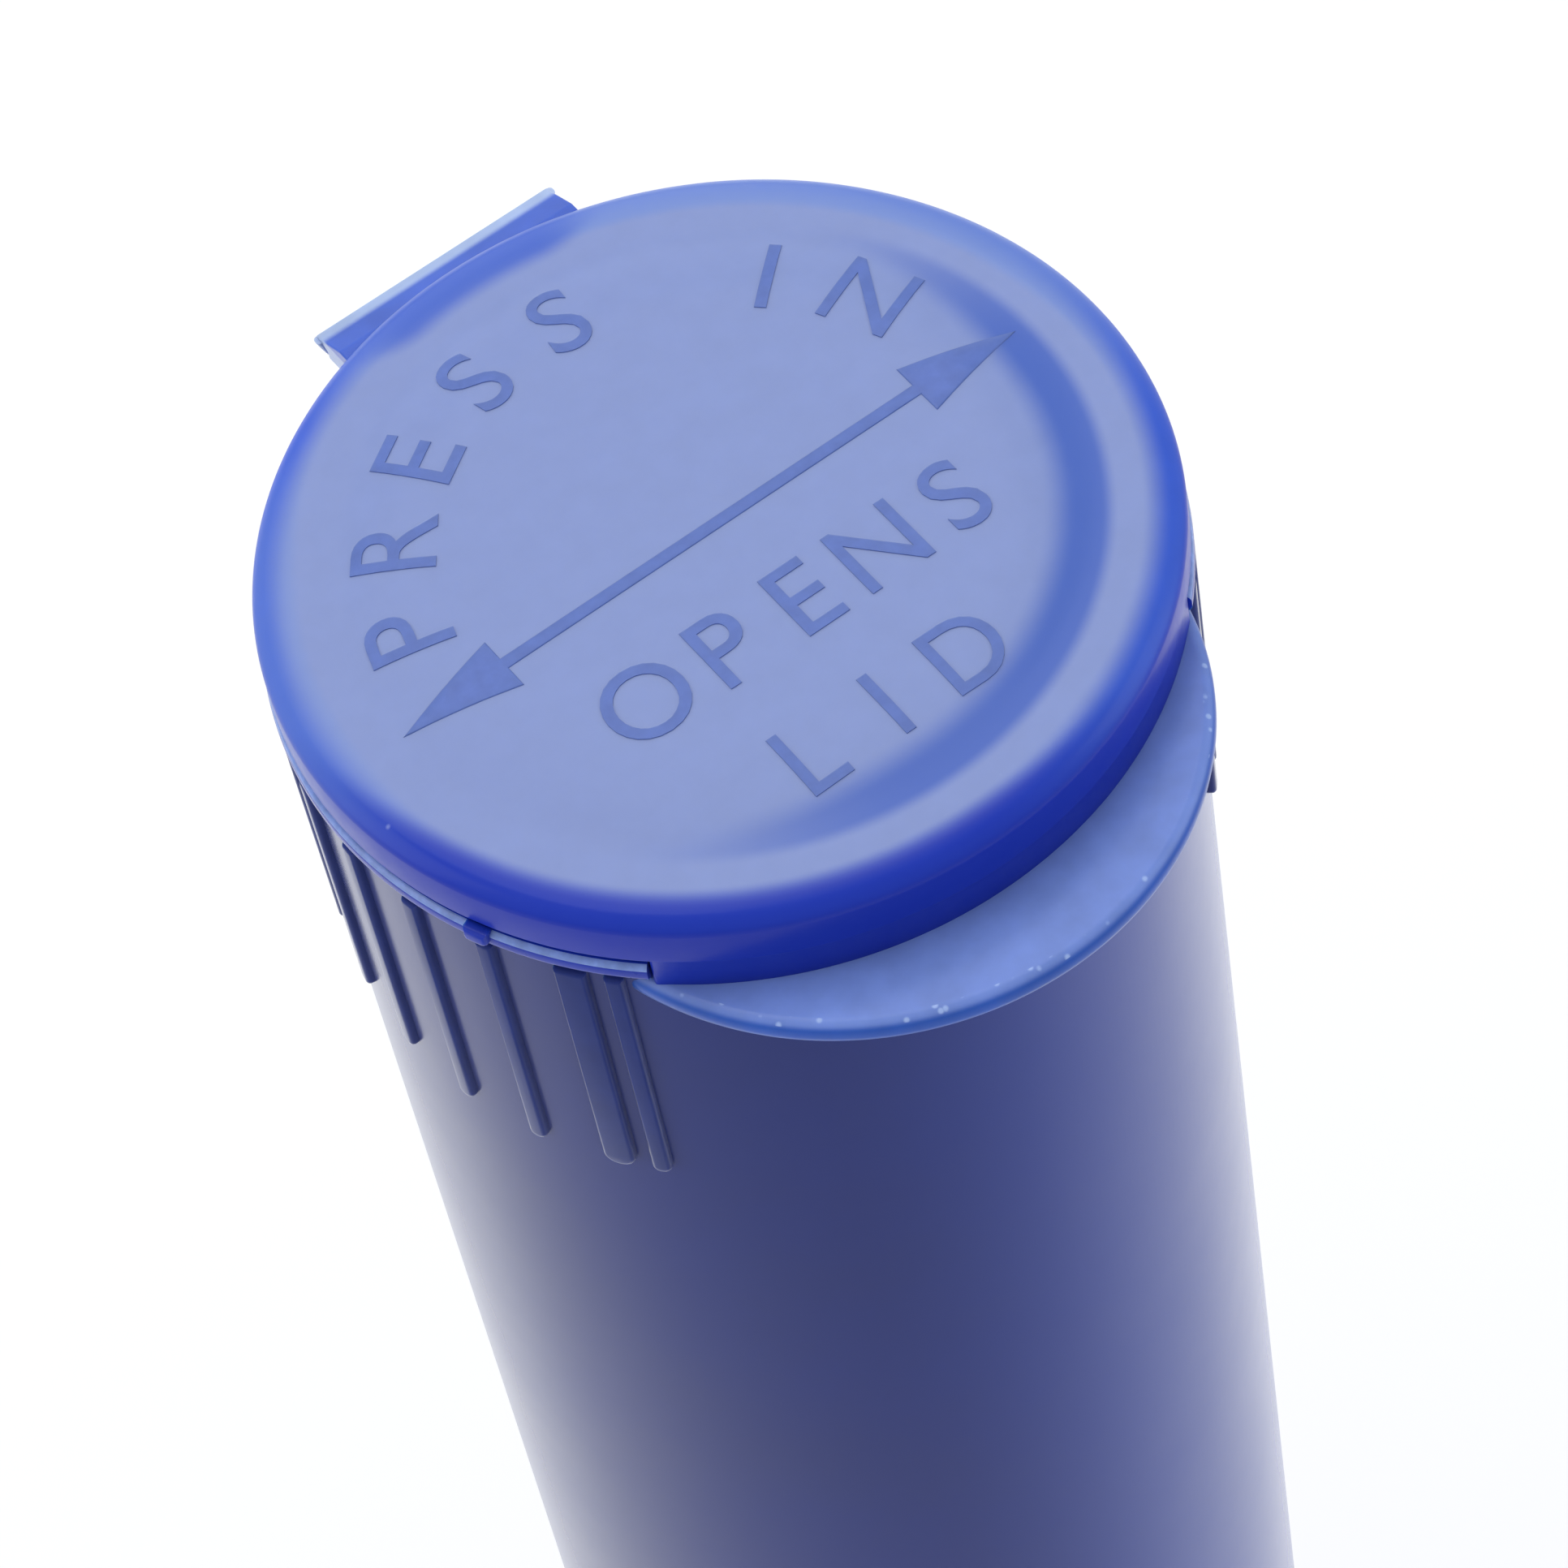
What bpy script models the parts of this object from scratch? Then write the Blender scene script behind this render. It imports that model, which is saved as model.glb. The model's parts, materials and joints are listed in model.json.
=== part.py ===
"""Hinged-lid squeeze tube: a slim drafted tube, a snap-in lid on a living hinge, and squeeze ribs.

Metres, +Z up. The tube stands on z = 0 with its axis on Z. The hinge is at +Y, the thumb tab at -Y,
and the two squeeze sides at +X and -X. The lid is shut.
"""

import math

import bmesh
import bpy
from mathutils import Matrix, Vector

# Tube
TUBE_HEIGHT = 0.0961
RIM_RADIUS = 0.01035
DRAFT = math.radians(0.5)
WALL = 0.0010
FLOOR = 0.0012
BASE_ROUND = 0.0012
FLOOR_ROUND = 0.0008
BEAD_OUT = 0.00015
BEAD_HEIGHT = 0.0006
BEAD_EDGE = 0.00012

# Lid
LID_OVERHANG = 0.00015
LID_EDGE_HEIGHT = 0.0011
LID_SLOPE_HEIGHT = 0.0004
LID_SLOPE_WIDTH = 0.00072
CROWN_HEIGHT = 0.00025
CROWN_SHOULDER = 0.0013
CROWN_RING_WIDTH = 0.00198
PANEL = 0.0010
LIP_ANGLE = math.radians(45)
LIP_WALL = 0.0005
LIP_SET_BACK = 0.00004
LIP_DROP = 0.0015

# Thumb tab
TAB_REACH = 0.0023
TAB_THICK = 0.0007
TAB_EDGE = 0.00018

# Plug ring under the lid
PLUG_LENGTH = 0.0035
PLUG_WALL = 0.0010
PLUG_LAND = 0.0011
PLUG_TAPER = 0.0003

# Living hinge
HINGE_WIDTH = 0.0066
LUG_REACH = 0.0005
LUG_HEIGHT = 0.0012
FLANGE_HEIGHT = 0.0009
WEB_SIDE = 0.0001
WEB_THICK = 0.0003
WEB_HEIGHT = 0.0012
WEB_BOW = 0.00008

# Squeeze ribs. On each squeeze side, evenly spaced ribs stand between two wide ones,
# and each wide one has a narrow one beyond it.
RIB_FROM_LIP = math.radians(5.0)
RIB_PAIR = math.radians(5.5)
RIBS_TO_WIDE = 3
RIB_WIDTH = 0.00046
WIDE_RIB_WIDTH = 0.00078
RIB_DEPTH = 0.00028
RIB_LENGTH = 0.0078
RIB_ROUND = 0.00011

# Clearances
SEAT_GAP = 0.00015
RIB_GAP = 0.0001
PLUG_CLEARANCE = 0.0001

SIDES = 72
STEP_ANGLE = 2 * math.pi / SIDES

# Heights and radii that follow from the sizes above
LID_RADIUS = RIM_RADIUS + LID_OVERHANG
BEAD_RADIUS = RIM_RADIUS + BEAD_OUT
LID_UNDER = TUBE_HEIGHT + SEAT_GAP
LID_RING = LID_UNDER + LID_EDGE_HEIGHT + LID_SLOPE_HEIGHT
LID_CROWN = LID_RING + CROWN_HEIGHT
CROWN_RADIUS = LID_RADIUS - CROWN_RING_WIDTH
LIP_BOTTOM = LID_UNDER - LIP_DROP
LIP_RADIUS = LID_RADIUS - LIP_SET_BACK
BORE_AT_RIM = RIM_RADIUS - WALL
PLUG_RADIUS = BORE_AT_RIM - PLUG_CLEARANCE
HINGE_FACE = max(LID_RADIUS, BEAD_RADIUS) + LUG_REACH
WEB_MIDDLE = HINGE_FACE + SEAT_GAP + WEB_THICK / 2
WEB_LOW = TUBE_HEIGHT + SEAT_GAP / 2 - (WEB_HEIGHT - WEB_THICK) / 2
WEB_HIGH = WEB_LOW + WEB_HEIGHT - WEB_THICK
RIB_OUTERMOST = math.pi / 2 - LIP_ANGLE - RIB_FROM_LIP
RIB_WIDE_AT = RIB_OUTERMOST - RIB_PAIR


def wall_radius(height):
    """Outside radius of the drafted wall at a height."""
    return RIM_RADIUS - (TUBE_HEIGHT - height) * math.tan(DRAFT)


def arc(centre, radius, start, end, steps):
    """Points of a quarter-round or other arc, angles in degrees, both ends included."""
    points = []
    for i in range(steps + 1):
        angle = math.radians(start + (end - start) * i / steps)
        points.append((centre[0] + radius * math.cos(angle), centre[1] + radius * math.sin(angle)))
    return points


def plastic(name, colour, roughness):
    material = bpy.data.materials.new(name)
    material.use_nodes = True
    shader = material.node_tree.nodes["Principled BSDF"]
    shader.inputs["Base Color"].default_value = (*colour, 1.0)
    shader.inputs["Roughness"].default_value = roughness
    shader.inputs["Metallic"].default_value = 0.0
    shader.inputs["IOR"].default_value = 1.49
    material.diffuse_color = (*colour, 1.0)
    return material


def add_object(name, bm, material, sharp=30.0):
    """Closes a bmesh into a smooth-shaded object with its faces turned outwards."""
    bmesh.ops.remove_doubles(bm, verts=bm.verts, dist=1e-7)
    bmesh.ops.recalc_face_normals(bm, faces=bm.faces)
    mesh = bpy.data.meshes.new(name)
    bm.to_mesh(mesh)
    bm.free()
    mesh.materials.append(material)
    mesh.shade_smooth()
    mesh.set_sharp_from_angle(angle=math.radians(sharp))
    piece = bpy.data.objects.new(name, mesh)
    bpy.context.collection.objects.link(piece)
    return piece


def turned(name, profile, material):
    """Spins a profile of (radius, height) points once round the Z axis; it may start on the axis."""
    bm = bmesh.new()
    verts = [bm.verts.new((radius, 0, height)) for radius, height in profile]
    edges = [bm.edges.new(pair) for pair in zip(verts, verts[1:])]
    if profile[0][0] > 0:
        edges.append(bm.edges.new((verts[-1], verts[0])))
    bmesh.ops.spin(bm, geom=verts + edges, cent=(0, 0, 0), axis=(0, 0, 1), angle=2 * math.pi,
                   steps=SIDES, use_merge=True)
    return add_object(name, bm, material)


def ring_sector(name, inner, outer, low, high, half_angle, material):
    """A block bent round the Z axis, centred on -Y."""
    bm = bmesh.new()
    corners = ((inner, low), (outer, low), (outer, high), (inner, high))
    start = Matrix.Rotation(-math.pi / 2 - half_angle, 3, "Z")
    verts = [bm.verts.new(start @ Vector((radius, 0, height))) for radius, height in corners]
    cap = bm.faces.new(verts)
    steps = max(2, round(2 * half_angle / STEP_ANGLE))
    bmesh.ops.spin(bm, geom=verts + list(bm.edges) + [cap], cent=(0, 0, 0), axis=(0, 0, 1),
                   angle=2 * half_angle, steps=steps)
    return add_object(name, bm, material)


def boolean(piece, other, operation):
    """Joins or cuts a piece with another object, which stays as a hidden guide."""
    modifier = piece.modifiers.new(other.name, "BOOLEAN")
    modifier.operation = operation
    modifier.solver = "EXACT"
    modifier.object = other
    other.hide_render = True
    other.hide_set(True)
    other.display_type = "WIRE"


def prism_x(name, outline, width, material):
    """Extrudes an outline of (y, z) points along X, centred on x = 0."""
    bm = bmesh.new()
    verts = [bm.verts.new((-width / 2, y, z)) for y, z in outline]
    face = bm.faces.new(verts)
    side = bmesh.ops.extrude_face_region(bm, geom=[face])
    moved = [item for item in side["geom"] if isinstance(item, bmesh.types.BMVert)]
    bmesh.ops.translate(bm, verts=moved, vec=(width, 0, 0))
    return add_object(name, bm, material)


def make_tube(material):
    """Drafted cup with a rounded base, a rim bead, and a step in front that takes the lid's lip."""
    base_radius = wall_radius(0)
    profile = [(0, 0)]
    profile += arc((base_radius - BASE_ROUND, BASE_ROUND), BASE_ROUND, -90, 0, 4)
    bead_low = TUBE_HEIGHT - BEAD_HEIGHT
    profile.append((wall_radius(bead_low - BEAD_OUT), bead_low - BEAD_OUT))
    profile.append((BEAD_RADIUS, bead_low + BEAD_EDGE))
    profile.append((BEAD_RADIUS, TUBE_HEIGHT - BEAD_EDGE))
    profile.append((BEAD_RADIUS - BEAD_EDGE, TUBE_HEIGHT))
    profile.append((BORE_AT_RIM + BEAD_EDGE, TUBE_HEIGHT))
    profile.append((BORE_AT_RIM, TUBE_HEIGHT - BEAD_EDGE))
    corner = wall_radius(FLOOR + FLOOR_ROUND) - WALL - FLOOR_ROUND
    profile += arc((corner, FLOOR + FLOOR_ROUND), FLOOR_ROUND, 0, -90, 3)
    profile.append((0, FLOOR))
    tube = turned("tube", profile, material)
    step = ring_sector(
        "lip_step_cutter",
        LIP_RADIUS - LIP_WALL - SEAT_GAP,
        BEAD_RADIUS + WALL,
        LIP_BOTTOM - SEAT_GAP,
        TUBE_HEIGHT + WALL,
        LIP_ANGLE + SEAT_GAP / RIM_RADIUS,
        material,
    )
    boolean(tube, step, "DIFFERENCE")
    return tube


def make_lid(material):
    """Disc with a raised crown, a sloped edge, a recess inside the plug ring and a lip at the front."""
    recess = PLUG_RADIUS - PLUG_WALL - SEAT_GAP
    profile = [(0, LID_CROWN - PANEL)]
    profile.append((recess - SEAT_GAP, LID_CROWN - PANEL))
    profile.append((recess, LID_UNDER))
    profile.append((LID_RADIUS, LID_UNDER))
    profile.append((LID_RADIUS, LID_UNDER + LID_EDGE_HEIGHT))
    for i in range(1, 4):
        turn = math.radians(90 * i / 3)
        profile.append((LID_RADIUS - LID_SLOPE_WIDTH * (1 - math.cos(turn)),
                        LID_RING - LID_SLOPE_HEIGHT * (1 - math.sin(turn))))
    profile.append((CROWN_RADIUS, LID_RING))
    for i in range(1, 5):
        turn = math.radians(90 * i / 4)
        profile.append((CROWN_RADIUS - CROWN_SHOULDER * (1 - math.cos(turn)),
                        LID_RING + CROWN_HEIGHT * math.sin(turn)))
    profile.append((0, LID_CROWN))
    lid = turned("lid", profile, material)
    lip = ring_sector("lip_guide", LIP_RADIUS - LIP_WALL, LIP_RADIUS, LIP_BOTTOM,
                      LID_UNDER + LID_EDGE_HEIGHT / 2, LIP_ANGLE, material)
    boolean(lid, lip, "UNION")
    return lid


def make_plug(material):
    """Ring that snaps into the bore and seals it. It tapers below its land so that it can swing."""
    low = TUBE_HEIGHT - PLUG_LENGTH
    profile = [
        (PLUG_RADIUS, TUBE_HEIGHT),
        (PLUG_RADIUS, TUBE_HEIGHT - PLUG_LAND),
        (PLUG_RADIUS - PLUG_TAPER, low),
        (PLUG_RADIUS - PLUG_WALL, low),
        (PLUG_RADIUS - PLUG_WALL, TUBE_HEIGHT),
    ]
    return turned("plug_ring", profile, material)


def make_tab(material):
    """Crescent plate between the lip and a smaller circle, which runs from end to end of the lip."""
    inner = LIP_RADIUS + SEAT_GAP
    reach = LID_RADIUS + TAB_REACH
    tip_x = inner * math.sin(LIP_ANGLE)
    tip_y = -inner * math.cos(LIP_ANGLE)
    outer_centre = -(reach ** 2 - inner ** 2) / (2 * (reach + tip_y))
    tab_radius = reach + outer_centre
    outer_half = math.atan2(tip_x, outer_centre - tip_y)
    steps = 20
    bm = bmesh.new()
    outline = []
    for i in range(steps + 1):
        turn = outer_half * (2 * i / steps - 1)
        outline.append((tab_radius * math.sin(turn), outer_centre - tab_radius * math.cos(turn)))
    for i in range(1, steps):
        turn = LIP_ANGLE * (1 - 2 * i / steps)
        outline.append((inner * math.sin(turn), -inner * math.cos(turn)))
    verts = [bm.verts.new((x, y, LIP_BOTTOM)) for x, y in outline]
    face = bm.faces.new(verts)
    side = bmesh.ops.extrude_face_region(bm, geom=[face])
    moved = [item for item in side["geom"] if isinstance(item, bmesh.types.BMVert)]
    bmesh.ops.translate(bm, verts=moved, vec=(0, 0, TAB_THICK))
    centre = Vector((0, outer_centre))
    rim = []
    for edge in bm.edges:
        level = abs(edge.verts[0].co.z - edge.verts[1].co.z) < TAB_EDGE
        misses = [abs((vert.co.xy - centre).length - tab_radius) for vert in edge.verts]
        if level and max(misses) < TAB_EDGE / 10:
            rim.append(edge)
    bmesh.ops.bevel(bm, geom=rim, offset=TAB_EDGE, offset_type="OFFSET", segments=2,
                    affect="EDGES", profile=0.5)
    return add_object("thumb_tab", bm, material)


def hinge_block(name, low, high, slant, material):
    """Block that carries one edge of the hinge, hollowed to lie round the lid or the rim."""
    inner = wall_radius(TUBE_HEIGHT) - WALL
    outline = [(inner, low - slant), (HINGE_FACE, low), (HINGE_FACE, high), (inner, high)]
    block = prism_x(name, outline, HINGE_WIDTH, material)
    clear = max(LID_RADIUS, BEAD_RADIUS) + SEAT_GAP
    profile = [(0, low - HINGE_WIDTH), (clear, low - HINGE_WIDTH), (clear, high + HINGE_WIDTH),
               (0, high + HINGE_WIDTH)]
    boolean(block, turned(name + "_cutter", profile, material), "DIFFERENCE")
    return block


def make_web(material):
    """Thin strap between the two blocks, bowed outwards, with a rounded end on each bending line."""
    half = WEB_THICK / 2
    middle = (WEB_LOW + WEB_HIGH) / 2
    outline = arc((WEB_MIDDLE, WEB_LOW), half, 180, 360, 4)
    outline.append((WEB_MIDDLE + half + WEB_BOW, middle))
    outline += arc((WEB_MIDDLE, WEB_HIGH), half, 0, 180, 4)
    outline.append((WEB_MIDDLE - half + WEB_BOW, middle))
    return prism_x("hinge_web", outline, HINGE_WIDTH + 2 * WEB_SIDE, material)


def make_rib(name, side, angle, width, material):
    """Low rounded bar that follows the drafted wall on one squeeze side."""
    bm = bmesh.new()
    bmesh.ops.create_cube(bm, size=1.0)
    bmesh.ops.scale(bm, vec=(RIB_DEPTH, width, RIB_LENGTH), verts=bm.verts)
    front = [edge for edge in bm.edges if all(vert.co.x > 0 for vert in edge.verts)]
    bmesh.ops.bevel(bm, geom=front, offset=RIB_ROUND, offset_type="OFFSET", segments=2,
                    affect="EDGES", profile=0.5)
    rib = add_object(name, bm, material)
    middle = TUBE_HEIGHT - BEAD_HEIGHT - BEAD_OUT - SEAT_GAP - RIB_LENGTH / 2
    distance = wall_radius(middle) + RIB_GAP + RIB_DEPTH / 2
    turn = angle if side > 0 else math.pi - angle
    rib.rotation_euler = (0, DRAFT, turn)
    rib.location = (distance * math.cos(turn), distance * math.sin(turn), middle)
    return rib


def make_ribs(material):
    for side, label in ((-1, "left"), (1, "right")):
        places = [(-RIB_OUTERMOST, RIB_WIDTH)]
        for step in range(-RIBS_TO_WIDE, RIBS_TO_WIDE + 1):
            width = WIDE_RIB_WIDTH if abs(step) == RIBS_TO_WIDE else RIB_WIDTH
            places.append((RIB_WIDE_AT * step / RIBS_TO_WIDE, width))
        places.append((RIB_OUTERMOST, RIB_WIDTH))
        for number, (angle, width) in enumerate(places, start=1):
            make_rib(f"squeeze_rib_{label}_{number}", side, angle, width, material)


def pivot(name, height):
    """Empty on a bending line of the hinge."""
    empty = bpy.data.objects.new(name, None)
    empty.empty_display_size = WEB_HEIGHT
    empty.location = (0, WEB_MIDDLE, height)
    bpy.context.collection.objects.link(empty)
    return empty


def keep_place_under(parent, child):
    child.parent = parent
    child.matrix_parent_inverse = parent.matrix_world.inverted()


def build():
    for item in list(bpy.data.objects):
        bpy.data.objects.remove(item, do_unlink=True)
    tube_blue = plastic("tube_blue", (0.16, 0.22, 0.52), 0.42)
    lid_blue = plastic("lid_blue", (0.24, 0.33, 0.72), 0.45)
    edge_blue = plastic("tab_blue", (0.10, 0.21, 0.66), 0.38)
    plug_blue = plastic("plug_blue", (0.10, 0.17, 0.60), 0.35)
    web_blue = plastic("web_blue", (0.48, 0.58, 0.80), 0.35)
    rib_blue = plastic("rib_blue", (0.09, 0.12, 0.36), 0.40)

    make_tube(tube_blue)
    make_ribs(rib_blue)
    lug_high = TUBE_HEIGHT - SEAT_GAP
    hinge_block("hinge_lug", lug_high - LUG_HEIGHT, lug_high, LUG_REACH, tube_blue)

    lid = make_lid(lid_blue)
    plug = make_plug(plug_blue)
    tab = make_tab(edge_blue)
    flange_low = LID_UNDER + SEAT_GAP
    flange = hinge_block("hinge_flange", flange_low, flange_low + FLANGE_HEIGHT, 0, lid_blue)
    web = make_web(web_blue)

    web_pivot = pivot("web_pivot", WEB_LOW)
    lid_pivot = pivot("lid_pivot", WEB_HIGH)
    bpy.context.view_layer.update()
    keep_place_under(web_pivot, lid_pivot)
    keep_place_under(web_pivot, web)
    for piece in (lid, plug, tab, flange):
        keep_place_under(lid_pivot, piece)


build()
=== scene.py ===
import json
import math

import bmesh
import bpy
from mathutils import Matrix, Vector
from mathutils.bvhtree import BVHTree


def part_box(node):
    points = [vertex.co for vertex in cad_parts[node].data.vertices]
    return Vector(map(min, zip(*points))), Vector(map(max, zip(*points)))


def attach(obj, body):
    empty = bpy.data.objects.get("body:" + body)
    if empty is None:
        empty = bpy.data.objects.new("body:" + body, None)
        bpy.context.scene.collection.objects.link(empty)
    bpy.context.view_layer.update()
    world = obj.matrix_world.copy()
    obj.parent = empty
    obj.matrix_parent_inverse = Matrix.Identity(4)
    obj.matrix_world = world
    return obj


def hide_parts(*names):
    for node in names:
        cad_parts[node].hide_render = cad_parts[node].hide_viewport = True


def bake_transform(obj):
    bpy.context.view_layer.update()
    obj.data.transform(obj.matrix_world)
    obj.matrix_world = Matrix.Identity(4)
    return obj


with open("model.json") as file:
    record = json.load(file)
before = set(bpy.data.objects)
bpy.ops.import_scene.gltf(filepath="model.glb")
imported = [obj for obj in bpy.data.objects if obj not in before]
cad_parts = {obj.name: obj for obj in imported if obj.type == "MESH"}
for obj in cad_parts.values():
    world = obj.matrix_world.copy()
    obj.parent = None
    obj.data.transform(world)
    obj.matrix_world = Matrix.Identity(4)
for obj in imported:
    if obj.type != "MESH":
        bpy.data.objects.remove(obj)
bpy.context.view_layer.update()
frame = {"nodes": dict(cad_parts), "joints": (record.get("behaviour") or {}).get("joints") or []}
mm = 0.001
print("frame loaded:", len(frame["nodes"]), "nodes")


lidTop = Vector((0, 0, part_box("lid")[1].z))
cameraPlace = {
    "lens": 153.3,
    "distance": 148.2 * mm,  # from the top of the lid
    "azimuth": -26.39,
    "elevation": 52.07,
    "aim": Vector((-1.73, -4.24, -3.83)) * mm,  # from the top of the lid
    "roll": -12.01,
    "sensor": 36,
    "nearest": 0.01,
    "furthest": 20,
}


def aroundLid(azimuth, elevation, distance):
    turn = math.radians(azimuth)
    rise = math.radians(elevation)
    level = math.cos(rise)
    heading = Vector((math.sin(turn) * level, -math.cos(turn) * level, math.sin(rise)))
    return lidTop + distance * heading


def makeCamera():
    place = aroundLid(cameraPlace["azimuth"], cameraPlace["elevation"], cameraPlace["distance"])
    look = (lidTop + cameraPlace["aim"] - place).to_track_quat("-Z", "Y").to_matrix()
    data = bpy.data.cameras.new("camera")
    data.lens = cameraPlace["lens"]
    data.sensor_width = cameraPlace["sensor"]
    data.clip_start = cameraPlace["nearest"]
    data.clip_end = cameraPlace["furthest"]
    camera = bpy.data.objects.new("camera", data)
    camera.matrix_world = Matrix.Translation(place) @ (
        look @ Matrix.Rotation(math.radians(cameraPlace["roll"]), 3, "Z")).to_4x4()
    bpy.context.collection.objects.link(camera)
    bpy.context.scene.camera = camera


stageValues = {
    "floorSize": 12.0,
    "floorColour": (0.9, 0.9, 0.905),
    "floorRoughness": 0.9,
    "airColour": (0.95, 0.97, 1.0),
    "airStrength": 0.55,
}
# name: azimuth, elevation, distance, width, height, watts
softLights = {
    "topLight": (175, 68, 1.40, 1.20, 1.20, 11.0),
    "leftLight": (-112, 24, 0.90, 0.40, 0.80, 1.7),
    "rightLight": (62, 20, 0.90, 0.40, 0.80, 1.6),
    "backLight": (165, 25, 1.00, 0.80, 0.50, 1.5),
}


def makeLight(name, azimuth, elevation, distance, width, height, watts):
    data = bpy.data.lights.new(name, "AREA")
    data.shape = "RECTANGLE"
    data.size = width
    data.size_y = height
    data.energy = watts
    lamp = bpy.data.objects.new(name, data)
    place = aroundLid(azimuth, elevation, distance)
    lamp.matrix_world = Matrix.Translation(place) @ (
        lidTop - place).to_track_quat("-Z", "Y").to_matrix().to_4x4()
    bpy.context.collection.objects.link(lamp)


def makeStage():
    scene = bpy.context.scene
    scene.view_settings.view_transform = "Standard"
    world = bpy.data.worlds.new("paleAir")
    world.use_nodes = True
    air = world.node_tree.nodes["Background"]
    air.inputs["Color"].default_value = (*stageValues["airColour"], 1)
    air.inputs["Strength"].default_value = stageValues["airStrength"]
    scene.world = world
    bm = bmesh.new()
    bmesh.ops.create_grid(bm, x_segments=2, y_segments=2, size=stageValues["floorSize"] / 2)
    mesh = bpy.data.meshes.new("floor")
    bm.to_mesh(mesh)
    bm.free()
    paint = bpy.data.materials.new("paleFloor")
    paint.use_nodes = True
    shader = paint.node_tree.nodes["Principled BSDF"]
    shader.inputs["Base Color"].default_value = (*stageValues["floorColour"], 1)
    shader.inputs["Roughness"].default_value = stageValues["floorRoughness"]
    mesh.materials.append(paint)
    floor = bpy.data.objects.new("floor", mesh)
    bpy.context.collection.objects.link(floor)
    for name, values in softLights.items():
        makeLight(name, *values)


makeCamera()
makeStage()
print("camera, floor and lights made")


def addNode(tree, kind, inputs=None, **settings):
    node = tree.nodes.new("ShaderNode" + kind)
    for name, value in settings.items():
        setattr(node, name, value)
    for name, value in (inputs or {}).items():
        if isinstance(value, bpy.types.NodeSocket):
            tree.links.new(value, node.inputs[name])
        else:
            node.inputs[name].default_value = value
    return node


def maths(tree, operation, first, second=0.0):
    return addNode(tree, "Math", {0: first, 1: second}, operation=operation).outputs[0]


def spread(tree, value, low, high, lowest=0.0, highest=1.0, soft=True):
    # maps low..high onto lowest..highest
    return addNode(tree, "MapRange", {"Value": value, "From Min": low, "From Max": high,
                                      "To Min": lowest, "To Max": highest},
                   interpolation_type="SMOOTHSTEP" if soft else "LINEAR").outputs[0]


def blendColours(tree, share, first, second, how="MIX"):
    node = addNode(tree, "Mix", data_type="RGBA", blend_type=how)
    for number, value in ((0, share), (6, first), (7, second)):
        if isinstance(value, bpy.types.NodeSocket):
            tree.links.new(value, node.inputs[number])
        else:
            node.inputs[number].default_value = value
    return node.outputs[2]


def newGroup(name, inputs, outputs):
    group = bpy.data.node_groups.new(name, "ShaderNodeTree")
    for label, kind in inputs.items():
        group.interface.new_socket(label, in_out="INPUT", socket_type="NodeSocket" + kind)
    for label, kind in outputs.items():
        group.interface.new_socket(label, in_out="OUTPUT", socket_type="NodeSocket" + kind)
    start = group.nodes.new("NodeGroupInput")
    end = group.nodes.new("NodeGroupOutput")
    return group, start.outputs, end.inputs


def makeDepthGroup():
    # the blue deepens where light crosses more plastic: outwards between two radii, and downwards
    group, given, result = newGroup(
        "blueByThickness",
        {"Place": "Vector", "Thin Blue": "Color", "Thick Blue": "Color", "Deep Blue": "Color",
         "Thin Radius": "Float", "Thick Radius": "Float",
         "Thin Height": "Float", "Thick Height": "Float"},
        {"Colour": "Color"})
    parts = addNode(group, "SeparateXYZ", {0: given["Place"]}).outputs
    radius = maths(group, "POWER", maths(group, "ADD", maths(group, "MULTIPLY", parts[0], parts[0]),
                                         maths(group, "MULTIPLY", parts[1], parts[1])), 0.5)
    outwards = spread(group, radius, given["Thin Radius"], given["Thick Radius"])
    downwards = spread(group, parts[2], given["Thin Height"], given["Thick Height"])
    colour = blendColours(group, outwards, given["Thin Blue"], given["Thick Blue"])
    group.links.new(blendColours(group, downwards, colour, given["Deep Blue"]), result["Colour"])
    return group


skinValues = {
    "grainDetail": 3.0, "grainRoughness": 0.6,
    "mottleDetail": 4.0, "mottleRoughness": 0.55,
    "mottleLow": 0.3, "mottleHigh": 0.7,
    "speckEdge": 0.32, "speckCore": 0.12,  # in shares of a speck's cell
}


def makeSkinGroup():
    # moulded skin: fine grain, soft mottling of the colour and a few pale specks; sparse specks are
    # dust, and a dense band of them along an edge is painted glints
    group, given, result = newGroup(
        "mouldedSkinAndGlints",
        {"Place": "Vector", "Grain Size": "Float", "Mottle Size": "Float", "Speck Size": "Float",
         "Speck Share": "Float", "Speck Low": "Float", "Speck High": "Float"},
        {"Height": "Float", "Mottle": "Float", "Specks": "Float"})
    k = skinValues
    grainScale, mottleScale, speckScale = (
        maths(group, "DIVIDE", 1.0, given[label])
        for label in ("Grain Size", "Mottle Size", "Speck Size"))
    grain = addNode(group, "TexNoise", {
        "Vector": given["Place"], "Detail": k["grainDetail"], "Roughness": k["grainRoughness"],
        "Scale": grainScale}).outputs[0]
    mottle = addNode(group, "TexNoise", {
        "Vector": given["Place"], "Detail": k["mottleDetail"], "Roughness": k["mottleRoughness"],
        "Scale": mottleScale}).outputs[0]
    cells = addNode(group, "TexVoronoi", {"Vector": given["Place"], "Scale": speckScale})
    chance = addNode(group, "SeparateColor", {0: cells.outputs["Color"]}).outputs[0]
    picked = maths(group, "LESS_THAN", chance, given["Speck Share"])
    near = spread(group, cells.outputs["Distance"], k["speckEdge"], k["speckCore"])
    height = addNode(group, "SeparateXYZ", {0: given["Place"]}).outputs[2]
    within = maths(group, "MULTIPLY", maths(group, "GREATER_THAN", height, given["Speck Low"]),
                   maths(group, "LESS_THAN", height, given["Speck High"]))
    specks = maths(group, "MULTIPLY", maths(group, "MULTIPLY", picked, near), within)
    group.links.new(maths(group, "ADD", grain, specks), result["Height"])
    group.links.new(mottle, result["Mottle"])
    group.links.new(specks, result["Specks"])
    return group


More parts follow.
